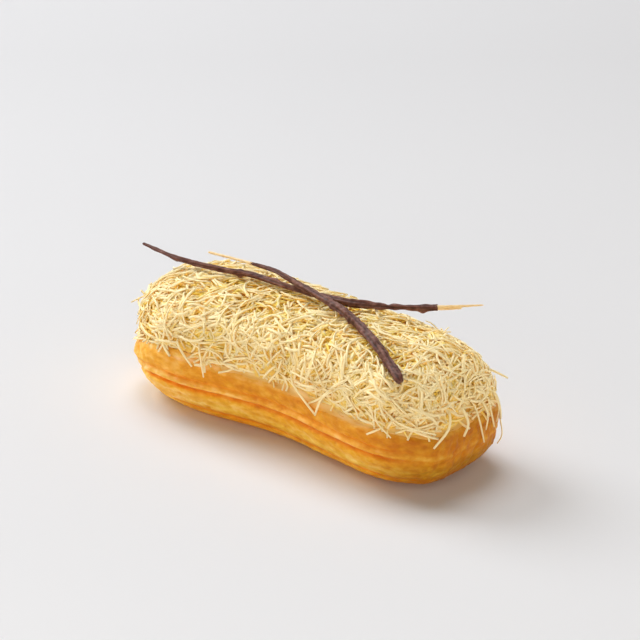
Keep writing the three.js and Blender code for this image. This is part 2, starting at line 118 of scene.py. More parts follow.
# A twig is painted darker in its grooves and lighter on its ridges, painted shade and painted highlight: the
# base share, the gain with how far the radius dips below its neighbours, and the darkest share.
DIP_BASE, DIP_GAIN, DIP_DARKEST = 0.84, 3.0, 0.5
LONG_TWIG = [
    (-66.6, -4.7, 45.2), (-50.7, -4.1, 43.9), (-38.1, -1.3, 43.4), (-25.6, 2.4, 43.3), (-11, 3, 43.3),
    (1.4, 3.9, 43.3), (12.6, 6.2, 43.4), (24.2, 10.6, 44), (38, 17.5, 45.4), (49.7, 24.8, 46.9),
]
ARCHED_TWIG = [
    (-44.1, 2, 46.2), (-28.5, 4.6, 45.9), (-18.6, 5.4, 45.7), (-5.5, 2.5, 45.4), (7.1, -0.2, 45.1),
    (18.4, -3, 44.3), (31.9, -8.1, 42.5), (41.6, -12.8, 40.7), (53, -18.8, 37.7),
]
BELOW, ABOVE = (0, -0.5, -0.87), (0, 0, 1)
LONG_LUMPS = [
    (0.05, 0.012, 0.2, BELOW), (0.135, 0.014, 0.3, BELOW), (0.35, 0.008, 0.75, BELOW),
    (0.47, 0.015, 0.25, ABOVE), (0.74, 0.1, 0.22, ABOVE), (0.74, 0.1, 0.22, BELOW),
    (0.78, 0.02, 0.15, ABOVE), (0.83, 0.012, 0.25, BELOW), (0.852, 0.007, -0.4, ABOVE),
    (0.872, 0.012, 0.22, ABOVE), (0.9, 0.012, -0.2, BELOW), (0.955, 0.013, 0.6, BELOW),
]
ARCHED_LUMPS = [
    (0.44, 0.008, 0.3, ABOVE), (0.475, 0.01, 0.35, BELOW), (0.5, 0.02, 0.2, ABOVE),
    (0.535, 0.008, 0.55, BELOW), (0.56, 0.008, 0.3, ABOVE), (0.585, 0.008, 0.5, BELOW),
    (0.61, 0.01, 0.3, ABOVE), (0.66, 0.02, 0.25, ABOVE),
]

# Loose shreds, from the deepest kind to the highest: how many, points along each, sides, level over the
# heap, slope of the level (mean and spread), how far one may stand up, length, width, how far it may
# hang over the rim, and how closely it follows the heap's relief
SHRED_KINDS = [
    (2750, 4, 3, (-1.1, -0.8), (0, 0.03), 0.0, (6, 10), 0.92, 0.0, 0.9),
    (1750, 5, 4, (-0.75, -0.35), (0, 0.06), 0.0, (6, 11), 0.86, 0.9, 0.5),
    (1280, 6, 5, (-0.3, 0.25), (0, 0.09), 0.9, (6, 11.5), 0.88, 1.0, 0.15),
    (100, 7, 5, (-0.3, 0.4), (0, 0.3), 2.2, (7, 12), 0.75, 1.0, 0.1),
]
SHRED_LAY, SHRED_BEND, SNAKE_SHARE, STIFFNESS, SHRED_RIPPLE = (0.9, 0.75, 0.0), 0.95, 0.3, (0.05, 0.9), 0.25
SIDE_START_SHARE, SPINE_SHARE, SPINE_LIMIT, LOWEST_START, HIGHEST_SIDE = 0.5, 0.6, 0.985, 0.02, 0.85
DEEPEST = -3.0  # no part of a shred lies further under the dome
SIDE_CLEARANCE, RIM_CLEARANCE = 0.95, 0.5
THINNEST_END, FLATNESS, ROLL = 0.62, 0.6, 0.6

# Shreds that hang over the rim: a point on the heap, one beside the rim and the lower end
HANGING_SHREDS = [
    [(-25.5, -24, 29.5), (-24, -24, 24), (-23, -24, 17.6)],
    [(-35, -25, 28), (-30.5, -25, 24), (-27.2, -25, 20.3)],
    [(9, -20, 27), (15.5, -21, 22), (21.6, -22, 18.4)],
    [(28, -23, 29), (24.7, -23, 24.5), (21.8, -22, 18)],
    [(29, -23, 28.5), (25, -23, 25), (20.4, -22, 21.8)],
    [(46, -24, 29.5), (47.8, -24, 25), (52.8, -23, 20.6)],
    [(50, -23, 26.5), (57.7, -21, 25), (63.2, -15, 22.5)],
    [(63, -8, 28.5), (65, -11, 23.5), (63.6, -16, 18)],
    [(65, 2, 29), (66, 3, 21), (66, 5.5, 13)],
    [(64, -3, 28), (66, -2.5, 22), (66, -4.5, 18.5)],
    [(63, 6, 28), (65.5, 7, 21.5), (65.5, 6.2, 16.8)],
    [(62.5, 9, 28.5), (65, 8.5, 22), (65, 10.5, 16.2)],
    [(61.5, 12, 28), (64, 13, 21.5), (64, 11.5, 17.3)],
    [(61, 13.5, 27.5), (63.5, 14, 21), (63, 15.5, 16.6)],
]
REPEATED_FAR = 7  # the first rows are repeated on the far side, turned half round
HANGING_WIDTH, HANGING_SIDES, HANGING_POINTS = 0.85, 6, 12
# The one that hangs down nearly to the floor, at the far corner of the right end
LOOPED_SHRED = [
    (59.7, 15.5, 25), (62.1, 17.6, 20), (62.2, 17.8, 16), (62.7, 18.2, 12.5), (62.9, 18.3, 10.2),
    (62.5, 18, 8.3), (61.8, 17.4, 6.8),
]

# Shreds that stick out of the heap: foot and tip
STRAY_SHREDS = [
    [(57.4, 14.8, 32.1), (64.1, 18.9, 29.1)], [(-55.1, -10.8, 33.3), (-60.3, -17, 30.4)],
    [(-59.6, -9.9, 28.9), (-62.3, -10.4, 31.9)], [(50.8, 17.3, 35), (48.5, 16.4, 37)],
    [(43, 12, 38.5), (44.1, 14.8, 41.6)],
]
STRAY_RISE = 0.35

# Places on the heap that stand above or below its even dome: x, y, z, height and reach
HEAP_SWELLS = [
    (-60, -13, 32, 0.9, 5), (-57, -3, 37, -0.9, 5), (-63, -10, 26, -1.9, 7), (-25, 13.5, 39, -1.9, 7),
    (-12, 17, 38, -0.4, 6), (34, 18, 38, -1.3, 5), (54, 17, 34, -2.0, 6), (60.5, 16.5, 25.5, 1.3, 6),
]
TUFTS = [(0.42, 12.0, 51), (0.5, 6.0, 52)]  # height, size and seed
PRESS_GAP, PRESS_REACH, PRESS_STEP, PRESS_TIMES, TWIG_ROOM = 0.45, 2.6, 0.6, 4, 0.15

# Colours of the shreds, linear light, from those on top to those deep in the heap. The deeper yellow is
# painted shade: it is put where a shred lies deep, in the heap's valleys and on each shred's underside.
SHRED_LIGHT, SHRED_SHADED = (1.0, 0.865, 0.51), (1.0, 0.725, 0.06)
SHADE_FROM, SHADE_OVER, SHADE_MOST, VALLEY_SHADE_SHARE, UNDERSIDE_SHADE_SHARE = -0.25, 0.9, 0.88, 0.25, 2.0

# Camera at the photograph's viewing angle
AZIMUTH, ELEVATION = math.radians(40.98), math.radians(24.01)
FOCAL_PIXELS, SCALE_PIXELS, CENTRE = 3199.5, 3.187, (308.35, 381.28)
PICTURE, SENSOR, AIM_HEIGHT, FURTHEST_SEEN = 640, 36, 15, 50

# Studio light, in metres and watts. A lamp has an azimuth, an elevation, a size, a power and a colour.
LIGHT_DISTANCE, LIGHT_TARGET = 1.8, (0, 0, 0.02)
LIGHT_BOUNCES = 24  # the pale heap scatters light many times between its shreds
LIGHTS = [
    ("key", 181, 39, 1.1, 21.5, (0.97, 1.0, 1.06)), ("overhead", 140, 70, 1.05, 15.3, (0.97, 1.0, 1.06)),
    ("fill", 315, 38, 1.0, 3.9, (1.03, 0.97, 0.84)),
]
HORIZON_POWER, SKY_POWER = 1.75, 0.05
HORIZON_COLOUR, HORIZON_TOP, SKY_FROM = (1.0, 0.865, 0.72), 0.3, 0.42
FLOOR_HALF, FLOOR_CELLS, FLOOR_GREY = 6.0, 8, 218
# The floor is painted darker toward the back, along this direction: painted shade where the light falls off.
FLOOR_WAY = (-0.656, 0.755, 0.0)
FLOOR_SHADE = {"From_Min": -0.15, "From_Max": 0.35, "To_Min": 1.12, "To_Max": 0.88}


def clamp01(v):
    return np.clip(v, 0.0, 1.0)


def unit(v):
    return v / np.linalg.norm(v, axis=-1, keepdims=True)


def interpolate(at, places, values):
    return np.stack([np.interp(at, places, values[:, k]) for k in range(3)], -1)


def width_share(x, waist):
    return (1 - waist * WAIST_DEPTH * np.exp(-((x / WAIST_REACH) ** 2))) * (1 + TAPER * x / (LENGTH / 2))


def bow(x):
    u = x / (LENGTH / 2)
    return BOW * (u * u - BOW_LEVEL) + SKEW * u**3


def powers(left):
    return [np.where(left, a, b) for a, b in zip(LEFT_ROUND, RIGHT_ROUND)]


def plan_point(c, s, inset, waist):
    """The outline's point at the angle with cosine c and sine s, drawn in by inset."""
    px, py = powers(c < 0)
    x = (LENGTH / 2 - inset) * np.sign(c) * np.abs(c) ** (2 / px)
    y = (FULL_WIDTH / 2 - inset) * np.sign(s) * np.abs(s) ** (2 / py)
    return x, y * width_share(x, waist) + bow(x)


def ring_at(c, s, inset, z):
    """The outline drawn in by inset, at the height z."""
    x, y = plan_point(c, s, inset, 1.0)
    return np.stack([x, y, z + 0 * x], -1)


def inset_at(x, y, waist):
    """The inset on which a plan point lies, found by halving."""
    px, py = powers(x < 0)
    across = np.abs(y - bow(x)) / width_share(x, waist)
    low = np.full(np.shape(x), OUTERMOST)
    high = np.full(np.shape(x), FULL_WIDTH / 2 - INNERMOST)
    for _ in range(HALVINGS):
        mid = (low + high) / 2
        inside = (np.abs(x) / (LENGTH / 2 - mid)) ** px + (across / (FULL_WIDTH / 2 - mid)) ** py < 1
        low = np.where(inside, mid, low)
        high = np.where(inside, high, mid)
    return (low + high) / 2


def plan_directions(columns):
    """Cosines and sines of angles that are evenly spaced along the outline."""
    angle = np.linspace(0, np.pi, PLAN_STEPS)
    x, y = plan_point(np.cos(angle), np.sin(angle), 0.0, 1.0)
    reach = np.concatenate([[0], np.cumsum(np.hypot(np.diff(x), np.diff(y)))])
    half = np.interp(np.linspace(0, reach[-1], columns // 2 + 1), reach, angle)
    c, s = np.cos(half), np.sin(half)
    s[0] = s[-1] = 0.0
    return np.concatenate([c, c[-2:0:-1]]), np.concatenate([s, -s[-2:0:-1]])


def ease(x, start, end):
    t = clamp01((x - start) / (end - start))
    return t * t * (3 - 2 * t)


def sag(x, z):
    """How far the left end has sunk, most at the rim and nothing at the floor and at the top."""
    share = np.where(z < SHELL_HEIGHT, z / SHELL_HEIGHT, 1 - (z - SHELL_HEIGHT) / DOME_HEIGHT)
    return SAG_DEPTH * ease(-x, *SAG_RANGE) * clamp01(share)


def foot_inset(z, c, s):
    x, _ = plan_point(c, s, 0.0, 1.0)
    right = ease(x, *RIGHT_FOOT_RANGE)
    depth = FOOT_DEPTH * ease(x, *FOOT_RANGE) + RIGHT_FOOT_DEPTH * right
    return depth * clamp01(1 - z / (FOOT_HEIGHT + RIGHT_FOOT_HEIGHT * right)) ** 2


def left_knob(z, x):
    """At the left end the crust juts out below the rim and draws in above and under that."""
    near = ease(-x, *KNOB_RANGE)
    under = ease(KNOB_WIDEST - z, 0.0, KNOB_FADE) * ease(z, *KNOB_FOOT)
    return near * (KNOB_ABOVE * ease(z, *KNOB_TOP) + KNOB_UNDER * under)


def lip_lift(x):
    return LIP_HEIGHT * ease(-x, *LIP_RANGE)


def dome_waist(height_share):
    rise = np.arcsin(clamp01(height_share)) * 2 / np.pi
    return TOP_WAIST_SHARE + (1 - TOP_WAIST_SHARE) * (1 - rise)


def dome_point(c, s, height_share, out):
    spread = clamp01(1 - height_share**DOME_POWER) ** (1 / DOME_POWER)
    inset = FULL_WIDTH / 2 - (FULL_WIDTH / 2 - DOME_EDGE + out) * spread
    x, y = plan_point(c, s, inset, dome_waist(height_share))
    z = DOME_BASE + (DOME_HEIGHT + out) * height_share
    return np.stack([x, y, z - sag(x, z)], -1)


def height_share_at(step):
    return np.sin(step * np.pi / 2) ** (1.5 - 0.5 * step)


def dome_field(p, out):
    """Negative inside the dome, zero on it and positive outside it, in about millimetres."""
    x, y, z = np.moveaxis(p, -1, 0)
    level = z + sag(x, z + sag(x, z))
    h = np.maximum(0, (level - DOME_BASE) / (DOME_HEIGHT + out))
    spread = (FULL_WIDTH / 2 - inset_at(x, y, dome_waist(h))) / (FULL_WIDTH / 2 - DOME_EDGE + out)
    return FIELD_SCALE * ((spread**DOME_POWER + h**DOME_POWER) ** (1 / DOME_POWER) - 1)


def dome_distance(p, out=0.0):
    """How far points stand above the dome moved out, and the directions away from it."""
    here = dome_field(p, out)
    slope = np.stack([(dome_field(p + step, out) - here) / NUDGE for step in np.eye(3) * NUDGE], -1)
    return here / np.maximum(np.linalg.norm(slope, axis=-1), LEAST_SLOPE), unit(slope)


def onto_dome(p, out, rounds):
    """The nearest points of the dome moved out, and the directions away from it."""
    for _ in range(rounds):
        above, normal = dome_distance(p, out)
        p = p - normal * above[..., None]
    return p, normal


def waves(p, scale, seed, count=7):
    """A smooth random field made of a few waves, the same each run."""
    rng = np.random.default_rng(seed)
    total = np.zeros(p.shape[:-1])
    for _ in range(count):
        k = rng.normal(size=3)
        k *= 2 * np.pi / (scale * rng.uniform(0.6, 1.6)) / np.linalg.norm(k)
        total += np.sin(p @ k + rng.uniform(0, 2 * np.pi))
    return total / math.sqrt(count)


def wavy(p, kinds):
    return sum(height * waves(p, size, seed) for height, size, seed in kinds)


# Mesh helpers
def new_object(name, vertices, faces, mat):
    mesh = bpy.data.meshes.new(name)
    mesh.from_pydata((np.asarray(vertices) * MM).tolist(), [], faces)
    mesh.validate()
    mesh.polygons.foreach_set("use_smooth", [True] * len(mesh.polygons))
    mesh.materials.append(mat)
    obj = bpy.data.objects.new(name, mesh)
    scene.collection.objects.link(obj)
    return obj


def paint(obj, name, values):
    layer = obj.data.color_attributes.new(name, "FLOAT_COLOR", "POINT")
    data = np.ones((len(obj.data.vertices), 4), dtype=np.float32)
    data[:, :3] = np.asarray(values, dtype=np.float32)
    layer.data.foreach_set("color", data.ravel())


def ring_faces(rings, sides, count=1):
    i = (np.arange(count) * rings * sides)[:, None, None] + (np.arange(rings - 1) * sides)[None, :, None]
    j = np.arange(sides)[None, None]
    k = (j + 1) % sides
    return np.stack([i + j, i + k, i + sides + k, i + sides + j], -1).reshape(-1, 4).tolist()


def folded_rows(grid):
    """The points of a folded body, its first and last rows cut to the half that the other repeats."""
    half = grid.shape[1] // 2
    return np.concatenate([grid[0, : half + 1], *grid[1:-1], grid[-1, : half + 1]])


def folded_body(name, grid, mat):
    """grid is rows x columns x 3, its first and last rows on the spine, each column facing its mirror."""
    rows, columns = grid.shape[:2]
    half = columns // 2
    first = [j if j <= half else columns - j for j in range(columns)]
    middle = half + 1
    last = middle + (rows - 2) * columns
    index = [first] + [[middle + r * columns + j for j in range(columns)] for r in range(rows - 2)]
    index.append([last + j for j in first])
    faces = []
    for a, b in zip(index, index[1:]):
        for j in range(columns):
            k = (j + 1) % columns
            face = list(dict.fromkeys((a[j], a[k], b[k], b[j])))
            if len(face) > 2:
                faces.append(face)
    return new_object(name, folded_rows(grid), faces, mat)


def joined(parts):
    vertices, faces, at = [], [], 0
    for v, f in parts:
        vertices.append(v)
        faces += [[i + at for i in face] for face in f]
        at += len(v)
    return np.concatenate(vertices), faces


def tubes(paths, side, up, thick, sides):
    """Closed tubes for many paths at once: paths is n x p x 3, side and up their cross directions,
    thick the half sizes (n x p x 2). Returns vertices and faces."""
    n, p = paths.shape[:2]
    angle = (np.arange(sides) * 2 * np.pi / sides + np.pi / 4)[:, None]
    across = side[:, :, None] * (np.cos(angle) * thick[:, :, None, :1])
    ring = paths[:, :, None] + across + up[:, :, None] * (np.sin(angle) * thick[:, :, None, 1:])
    faces = ring_faces(p, sides, n)
    starts = np.arange(n)[:, None] * p * sides
    faces += (starts + np.arange(sides)[::-1][None]).tolist()
    faces += (starts + (p - 1) * sides + np.arange(sides)[None]).tolist()
    return ring.reshape(-1, 3), faces


# Materials
NOISE_ROUGHNESS = 0.55


def node(tree, kind, **values):
    made = tree.nodes.new(kind)
    for key, value in values.items():
        setattr(made, key, value)
    return made


def set_inputs(made, **values):
    for key, value in values.items():
        made.inputs[key.replace("_", " ")].default_value = value


def material(name, **shader):
    mat = bpy.data.materials.new(name)
    mat.use_nodes = True
    tree = mat.node_tree
    bsdf = tree.nodes["Principled BSDF"]
    set_inputs(bsdf, **shader)
    return mat, tree, bsdf


def noise(tree, scale, detail, stretch=(1, 1, 1)):
    where = node(tree, "ShaderNodeTexCoord")
    mapping = node(tree, "ShaderNodeMapping")
    set_inputs(mapping, Scale=stretch)
    made = node(tree, "ShaderNodeTexNoise")
    set_inputs(made, Scale=scale, Detail=detail, Roughness=NOISE_ROUGHNESS)
    tree.links.new(where.outputs["Object"], mapping.inputs["Vector"])
    tree.links.new(mapping.outputs["Vector"], made.inputs["Vector"])
    return made.outputs["Fac"]


def ramp(tree, value, stops):
    made = node(tree, "ShaderNodeValToRGB")
    elements = made.color_ramp.elements
    for element, (place, colour) in zip(elements, (stops[0], stops[-1])):
        element.position = place
        element.color = (*colour, 1)
    for place, colour in stops[1:-1]:
        elements.new(place).color = (*colour, 1)
    tree.links.new(value, made.inputs["Fac"])
    return made.outputs["Color"]


def multiply(tree, share, first, second):
    made = node(tree, "ShaderNodeMix", data_type="RGBA", blend_type="MULTIPLY")
    set_inputs(made, Factor=share)
    tree.links.new(first, made.inputs["A"])
    tree.links.new(second, made.inputs["B"])
    return made.outputs["Result"]


def colour_layer(tree, name):
    made = node(tree, "ShaderNodeVertexColor", layer_name=name)
    return made.outputs["Color"]


def bump(tree, bsdf, value, strength, distance):
    made = node(tree, "ShaderNodeBump")
    set_inputs(made, Strength=strength, Distance=distance)
    tree.links.new(value, made.inputs["Height"])
    tree.links.new(made.outputs["Normal"], bsdf.inputs["Normal"])


def srgb(r, g, b):
    def one(v):
        v /= 255
        return v / 12.92 if v <= 0.04045 else ((v + 0.055) / 1.055) ** 2.4

    return (one(r), one(g), one(b))


def choux_material():
    soft = {"Subsurface_Weight": 0.12, "Subsurface_Scale": 0.002, "Subsurface_Radius": (1.0, 0.5, 0.15)}
    mat, tree, bsdf = material("baked_choux", Specular_IOR_Level=0.22, **soft)
    mottle_stops = [(0.34, (0.87, 0.74, 0.4)), (0.5, (0.98, 0.97, 0.9)), (0.68, (1.07, 1.24, 2.7))]
    mottle = ramp(tree, noise(tree, 480, 4, (0.5, 1, 1)), mottle_stops)
    spots = ramp(tree, noise(tree, 75, 3), [(0.35, (0.92, 0.82, 0.62)), (0.65, (1.04, 1.13, 1.45))])
    colour = multiply(tree, 1.0, colour_layer(tree, "crust"), mottle)
    colour = multiply(tree, 0.8, colour, spots)
    tree.links.new(colour, bsdf.inputs["Base Color"])
    gloss = node(tree, "ShaderNodeMapRange")
    set_inputs(gloss, To_Min=0.42, To_Max=0.6)
    tree.links.new(noise(tree, 260, 3), gloss.inputs["Value"])
    tree.links.new(gloss.outputs["Result"], bsdf.inputs["Roughness"])
    bump(tree, bsdf, noise(tree, 700, 5, (0.6, 1, 1)), 0.5, 0.0008)
    return mat


def grained(name, roughness, grain, stops, relief, layer=None, **shader):
    """Coloured by noise of a scale and detail, times a painted layer if it has one. relief is the
    scale, detail, strength and distance of its bumps."""
    mat, tree, bsdf = material(name, Roughness=roughness, **shader)
    colour = ramp(tree, noise(tree, *grain), stops)
    if layer:
        colour = multiply(tree, 1.0, colour_layer(tree, layer), colour)
    tree.links.new(colour, bsdf.inputs["Base Color"])
    scale, detail, strength, distance = relief
    bump(tree, bsdf, noise(tree, scale, detail), strength, distance)
    return mat


def cream_material():
    stops = [(0.3, (0.97, 0.93, 0.85)), (0.7, (1.0, 1.0, 1.0))]
    soft = {"Subsurface_Weight": 0.25, "Subsurface_Scale": 0.003, "Subsurface_Radius": (1.0, 0.75, 0.35)}
    return grained("pale_cream", 0.34, (160, 3), stops, (500, 3, 0.2, 0.0004), "cream", **soft)


def mat_material():
    # Deeper golden than the shreds on top: painted shade for the deep gaps in the heap.
    stops = [(0.3, srgb(242, 198, 84)), (0.7, srgb(249, 212, 108))]
    return grained("matted_shreds", 0.7, (700, 3), stops, (900, 2, 0.6, 0.001))


def shred_material():
    stops = [(0.25, (1.0, 0.97, 0.9)), (0.75, (1.0, 1.0, 1.0))]
    relief = (2400, 2, 0.25, 0.0002)
    return grained("shredded_topping", 0.5, (900, 3), stops, relief, "tone_and_shade", Specular_IOR_Level=0.3)


def chocolate_material():
    stops = [(0.3, srgb(84, 46, 38)), (0.55, srgb(120, 78, 66)), (0.8, srgb(156, 118, 106))]
    relief = (1500, 4, 0.4, 0.0003)
    return grained("dark_chocolate", 0.5, (420, 4), stops, relief, "grooves", Specular_IOR_Level=0.22)


def strand_material():
    stops = [(0.3, srgb(234, 196, 134)), (0.7, srgb(250, 224, 172))]
    return grained("golden_strand", 0.6, (600, 3), stops, (2000, 2, 0.3, 0.0002))


# The shell
def shell_pits(p):
    """How deep the crust is pitted: small pits all over, and wide ones at the right end."""
    rng = np.random.default_rng(41)
    total = np.zeros(p.shape[:2])
    flat = p.reshape(-1, 3)
    for _ in range(PIT_COUNT):
        middle = flat[rng.integers(0, len(flat))]
        reach = rng.uniform(*PIT_REACH)
        total += rng.uniform(*PIT_STRENGTH) * np.exp(-np.sum((p - middle) ** 2, -1) / reach**2)
    for middle in WIDE_PITS:
        total += WIDE_PIT_STRENGTH * np.exp(-np.sum((p - middle) ** 2, -1) / WIDE_PIT_REACH**2)
    return np.minimum(total, WIDE_PIT_STRENGTH)


def crust_colours(grid, level, depth, pits):
    """Colour of the crust: level is the height above the foot, depth that of the grooves. It holds painted
    shade in the grooves and at the right end, and painted light at the left end.
    """
    heights, tones = zip(*CRUST_COLOURS)
    colour = interpolate(level, heights, np.array(tones))
    # painted shade: the deeper a groove is cut, the closer the crust is painted to the groove colour
    groove_shade = clamp01(depth)[..., None]
    colour = colour * (1 - groove_shade) + groove_shade * GROOVE_SHADE_COLOUR
    patch = waves(grid * [0.3, 1, 1.6], PATCH_SIZE, 11)[..., None]
    colour = colour * (1 - clamp01(0.5 + 0.5 * patch) * PATCH_SHADE)
    # painted shade: darker toward the right end, and more so in the lower band
    right_shade = ease(grid[..., 0], *RIGHT_SHADE_RANGE)[..., None]
    streaks = clamp01(waves(grid * [1, 1, 0.3], STREAK_SIZE, 12))[..., None]
    low = right_shade * clamp01((LOW_BAND_TOP - level) / LOW_BAND_FADE)[..., None]
    colour = colour * (1 - low * (1 - np.array(RIGHT_LOW_SHADE)))
    streaked = 1 - right_shade * STREAK_SHADE * streaks
    colour = colour * (1 - right_shade * (1 - np.array(RIGHT_SHADE_COLOUR))) * streaked
    colour = colour * (1 - pits[..., None] * PIT_SHADE)
    # painted light: the crust is painted paler toward the left end
    pale = ease(-grid[..., 0], *LEFT_LIGHT_RANGE)[..., None]
    return np.minimum(colour * (1 + pale * (np.array(LEFT_LIGHT_GAIN) - 1)), PALEST)


def flat_rings(c, s, start, shares, heights):
    """Rings from an inset toward the spine, each at its share of the way and its height."""
    made = []
    for share, height in zip(shares, heights):
        made.append(ring_at(c, s, start + (FULL_WIDTH / 2 - start) * share, height))
    return made


def shell():
    c, s = plan_directions(SHELL_COLUMNS)
    angle = np.arctan2(s, c)
    z = (SHELL_HEIGHT * np.linspace(0, 1, SIDE_ROWS + 1) ** ROW_POWER)[:, None]
    line = z + LINE_WAVE * (np.sin(3 * angle + 0.6) + 0.6 * np.sin(7 * angle + 2.1))
    inset = UNDERCUT * clamp01(1 - z / BELLY_HEIGHT) ** UNDERCUT_POWER + foot_inset(z, c, s)
    groove = np.zeros_like(line)
    plan_x, _ = plan_point(c, s, 0.0, 1.0)
    far_right = ease(plan_x, *LUMPY_RANGE)
    far_left = ease(-plan_x, *KNOB_RANGE)
    kept = 1 - RIGHT_FLATTENED * far_right - LEFT_FLATTENED * far_left
    for middle, depth, width in PIPED_LINES:
        cut = depth * np.exp(-(((line - middle) / width) ** 2)) * kept
        inset = inset + cut
        groove += cut
    inset = inset + RIM_CURVE * np.maximum(0, z - RIM_START) ** 2 + left_knob(z, plan_x)
    p = ring_at(c, s, inset, z)
    fine = FINE_HEIGHT * waves(p * [0.35, 1, 1], FINE_SIZE, 3)
    fine = fine + FINEST_HEIGHT * waves(p * [0.6, 1, 1], FINEST_SIZE, 4)
    fade = clamp01(z / RELIEF_FADE) * clamp01((SHELL_HEIGHT - z) / RELIEF_FADE)
    pits = shell_pits(p)
    lumps = LUMP_HEIGHT * far_right * waves(p, LUMP_SIZE, 5)
    inset = inset + (fine + lumps + PIT_DEPTH * pits) * fade
    x, _ = plan_point(c, s, inset, 1.0)
    raised = z + lip_lift(x) * clamp01((z - LIP_START) / (SHELL_HEIGHT - LIP_START))
    rings = list(ring_at(c, s, inset, raised))
    lip = raised[-1] - SHELL_HEIGHT
    step = LIP_THICK / (FULL_WIDTH / 2)
    bottom = flat_rings(c, s, inset[0], (0.15, 0.5, 1.0), (0, 0, 0))
    tops = (SHELL_HEIGHT + 1.04 * lip, SHELL_HEIGHT + 0.95 * lip, SHELL_HEIGHT, SHELL_HEIGHT, SHELL_HEIGHT)
    top = flat_rings(c, s, inset[-1], (0.4 * step, step, 1.15 * step, 0.5, 1.0), tops)
    grid = np.array(bottom[::-1] + rings + top)
    grid[..., 2] -= sag(grid[..., 0], grid[..., 2])
    obj = folded_body("choux_shell_crust", grid, choux_material())
    under = np.zeros((len(bottom), SHELL_COLUMNS))
    over = np.zeros((len(top), SHELL_COLUMNS))
    level = np.concatenate([under, line, over + SHELL_HEIGHT])
    depth = np.concatenate([under, groove, over])
    colour = crust_colours(grid, level, depth, np.concatenate([under, pits * fade, over]))
    paint(obj, "crust", folded_rows(colour))
    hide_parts("choux_shell")
    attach(obj, "root")


# The cream and the matted shreds over it
def bare_share(x):
    """How far along x the heap lies back from the rim, so that cream shows."""
    return ease(x, *BARE_START) * (1 - ease(x, *BARE_END))


def cream():
    c, s = plan_directions(CAP_COLUMNS)
    rows = []
    plan_x, y = plan_point(c, s, 0.0, 1.0)
    uneven = waves(np.stack([plan_x, y, 0 * y], -1), 9.0, 24)
    lap = CREAM_LAP + LAP_RISE * (1 - bare_share(plan_x)) + LAP_WAVE * uneven
    lap = np.minimum(lap, SHELL_HEIGHT - LEAST_LAP)
    for share in (0, 0.1, 0.3, 0.5, 0.75, 1):
        z = lap + (SHELL_HEIGHT - lap) * share
        rim = RIM_CURVE * (z - RIM_START) ** 2 + left_knob(z, plan_x)
        x, y = plan_point(c, s, rim - CREAM_PROUD * min(1.0, share * 8), 1.0)
        rows.append(np.stack([x, y, z - sag(x, z)], -1))
    rim_rows = len(rows)
    for i in range(1, CAP_STEPS + 1):
        step = i / CAP_STEPS
        out = CREAM_OUT + CREAM_EDGE * (1 - step) + CREAM_FILLET * (1 - step) ** 9
        rows.append(dome_point(c, s, height_share_at(step), out))
    grid = np.array(rows)
    foot = dome_point(c, s, 1.0, CREAM_OUT)
    foot[:, 2] = CREAM_LAP - sag(foot[:, 0], CREAM_LAP)
    from_rim = clamp01(np.arange(len(rows)) / rim_rows - 0.2)
    from_top = clamp01(np.arange(len(rows), 0, -1) / 8)
    lift = wavy(grid, CREAM_WAVES) * (from_rim * from_top)[:, None]
    away = grid - [0, 0, 20.0] - grid * [0.8, 0, 0]
    grid += unit(away) * lift[..., None]
    grid = np.concatenate([foot[None], grid])
    obj = folded_body("cream_under_shreds", grid, cream_material())
    x, _, z = folded_rows(grid).T
    rise = clamp01((z + sag(x, z) - CREAM_LAP) / CREAM_BLEND)[:, None]
    paint(obj, "cream", (1 - rise) * CREAM_LOW + rise * CREAM_HIGH)
    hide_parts("cream_layer")
    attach(obj, "root")


def mat_edge(c, s):
    """How far above the rim the heap starts: a little cream shows along the middle of the near side."""
    angle = np.arctan2(s, c)
    x, _ = plan_point(c, s, DOME_EDGE, 1.0)
    edge = MAT_EDGE + MAT_EDGE_RISE * bare_share(x) + EDGE_LIP_SHARE * lip_lift(x)
    for height, count, phase in EDGE_WAVES:
        edge = edge + height * np.sin(count * angle + phase)
    return edge


def mat_core():
    c, s = plan_directions(CAP_COLUMNS)
    edge = np.maximum(mat_edge(c, s), 0.1) / DOME_HEIGHT
    rows = []
    for i in range(CAP_STEPS + 1):
        step = i / CAP_STEPS
        out = MAT_OUT - 0.1 + MAT_EDGE_OUT * (1 - step) ** 2
        rows.append(dome_point(c, s, edge + (1 - edge) * height_share_at(step), out))
    grid = np.array(rows)
    fade = clamp01(np.linspace(0, MAT_FADE_STEPS, CAP_STEPS + 1))
    lift = (heap_relief(grid) + MAT_LUMP * waves(grid, MAT_LUMP_SIZE, 32)) * (fade * fade[::-1])[:, None]
    _, normal = dome_distance(grid, MAT_OUT - 0.3)
    grid += normal * lift[..., None]
    foot = dome_point(c, s, np.clip(edge + 0.12, 0, 1), CREAM_OUT + 0.2)
    inner = dome_point(c, s, 1.0, CREAM_OUT - 2)
    obj = folded_body("shred_mat", np.concatenate([inner[None], foot[None], grid]), mat_material())
    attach(obj, "root")
    return obj


# Curves
SPAN_STEPS, CURVE_STEPS = 60, 2000


